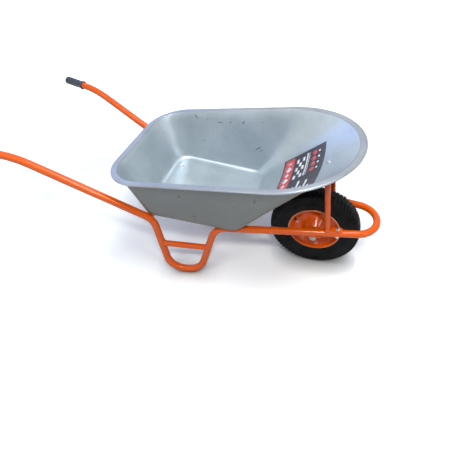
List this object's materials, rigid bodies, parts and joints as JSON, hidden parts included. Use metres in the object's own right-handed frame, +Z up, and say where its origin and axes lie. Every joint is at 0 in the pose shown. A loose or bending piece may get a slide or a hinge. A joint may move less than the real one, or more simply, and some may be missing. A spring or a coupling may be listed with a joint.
{
  "type": "wheelbarrow",
  "caption": "Single-wheel wheelbarrow: galvanised tray on a bent steel tube frame with two legs, rubber grips and a pneumatic wheel on ball bearings.",
  "frame": {"origin": "on the ground, at the middle of the whole barrow's bounding box", "axes": "+X forwards, from the grips to the wheel; +Y to the left of the person who pushes; +Z up"},
  "size_m": [1.5018, 0.627, 0.621],
  "materials": {
    "paint": "orange powder coat, satin to gloss",
    "galvanised": "hot-dip galvanised sheet, satin",
    "zinc": "zinc plated",
    "bearing_steel": "ground bearing steel",
    "tyre_rubber": "black moulded rubber",
    "tube_rubber": "smooth black butyl rubber",
    "grip": "dark soft plastic, matte",
    "brass": "nickel-brass, dull"
  },
  "bodies": {
    "frame": {"tray": "galvanised", "front_loop": "paint", "front_stay": "paint", "rear_cross_bar": "paint", "front_cross_bar": "paint", "tray_front_bolt": "zinc", "tray_front_nut": "zinc", "axle": "zinc", "bearing_spacer": "zinc", "left_side_tube": "paint", "left_leg_brace": "paint", "left_axle_bracket": "paint", "left_grip": "grip", "left_loop_spigot": "zinc", "left_stay_bolt": "zinc", "left_stay_nut": "zinc", "left_tray_bolt": "zinc", "left_tray_nut": "zinc", "left_axle_spacer": "zinc", "left_axle_washer": "zinc", "left_axle_nut": "zinc", "left_bearing_inner_race": "bearing_steel", "right_side_tube": "paint", "right_leg_brace": "paint", "right_axle_bracket": "paint", "right_grip": "grip", "right_loop_spigot": "zinc", "right_stay_bolt": "zinc", "right_stay_nut": "zinc", "right_tray_bolt": "zinc", "right_tray_nut": "zinc", "right_axle_spacer": "zinc", "right_axle_washer": "zinc", "right_axle_nut": "zinc", "right_bearing_inner_race": "bearing_steel"},
    "wheel": {"left_rim_half": "paint", "left_bearing_outer_race": "bearing_steel", "left_ball_cage": "bearing_steel", "right_rim_half": "paint", "right_bearing_outer_race": "bearing_steel", "right_ball_cage": "bearing_steel", "rim_bolt_1": "paint", "rim_nut_1": "paint", "rim_bolt_2": "paint", "rim_nut_2": "paint", "rim_bolt_3": "paint", "rim_nut_3": "paint", "rim_bolt_4": "paint", "rim_nut_4": "paint", "rim_bolt_5": "paint", "rim_nut_5": "paint", "tyre": "tyre_rubber", "inner_tube": "tube_rubber", "valve_stem": "tube_rubber", "valve_cap": "brass"}
  },
  "joints": [
    {"name": "wheel_spin", "type": "hinge", "parent": "frame", "child": "wheel", "pos_m": [0.4881, 0, 0.19], "axis": [0, 1, 0], "continuous": true}
  ]
}
